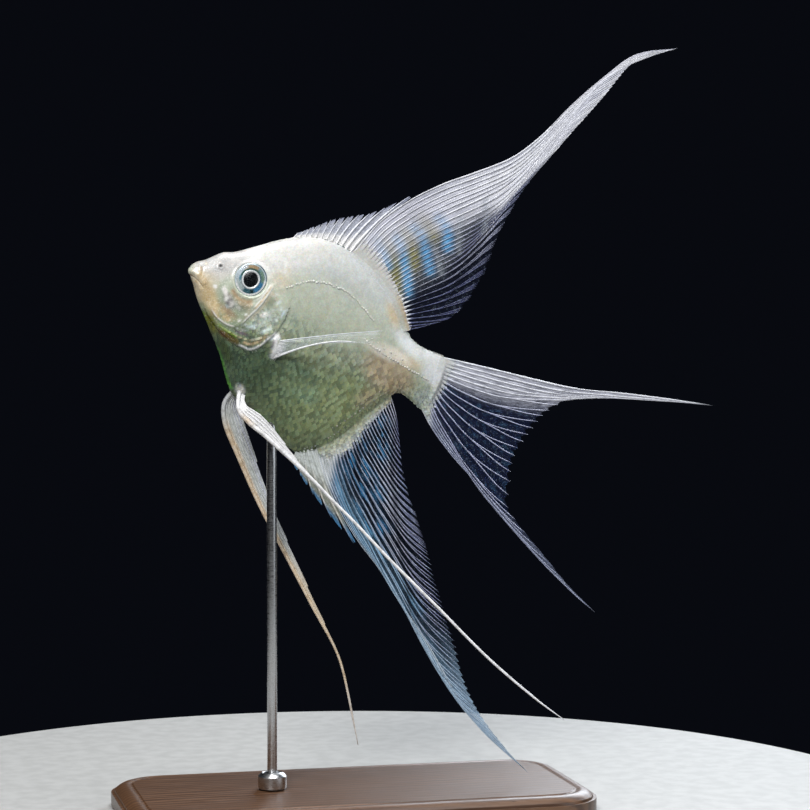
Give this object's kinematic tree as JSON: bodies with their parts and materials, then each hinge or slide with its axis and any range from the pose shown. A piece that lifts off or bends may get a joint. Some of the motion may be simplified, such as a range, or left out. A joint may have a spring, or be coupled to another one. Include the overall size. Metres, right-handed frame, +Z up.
{
  "type": "freshwater angelfish display model",
  "caption": "Life-size still model of a pale freshwater angelfish, swimming nose-up with long drawn-out fins, carried by a slender rod above a flat wooden base.",
  "frame": {"origin": "middle of the underside of the stand's base, on the surface it stands on", "axes": "+Z up, the fish's head toward -X and its tail toward +X, its left side toward -Y; the fish's plane of symmetry is y = 0"},
  "size_m": [0.1367, 0.05, 0.1706],
  "materials": {
    "skin": "pearly pale skin with small overlapping scales, white nape, olive belly",
    "fin": "thin clear web over white rays with pale blue flecks",
    "eye": "clear dome over a silver-blue iris and black pupil",
    "stand_wood": "dark walnut, satin varnish",
    "stand_steel": "brushed stainless steel"
  },
  "bodies": {
    "root": {"upper_lip": "skin", "lower_jaw": "skin", "head": "skin", "gill_cover_left": "skin", "gill_cover_right": "skin", "trunk": "skin", "tail_stem": "skin", "dorsal_spines": "fin", "dorsal_rays": "fin", "dorsal_streamer": "fin", "dorsal_streamer_tip": "fin", "anal_spines": "fin", "anal_rays": "fin", "anal_streamer": "fin", "anal_streamer_tip": "fin", "tail_fin_top": "fin", "tail_fin_top_streamer": "fin", "tail_fin_middle": "fin", "tail_fin_low": "fin", "tail_fin_low_streamer": "fin", "pelvic_left": "fin", "pelvic_left_thread": "fin", "pelvic_left_thread_mid": "fin", "pelvic_left_thread_tip": "fin", "pelvic_right": "fin", "pelvic_right_blade_tip": "fin", "pelvic_right_thread": "fin", "pectoral_left": "fin", "pectoral_right": "fin", "eye_left": "eye", "eye_right": "eye", "stand_base": "stand_wood", "stand_rod": "stand_steel", "stand_collar": "stand_steel"}
  },
  "joints": []
}
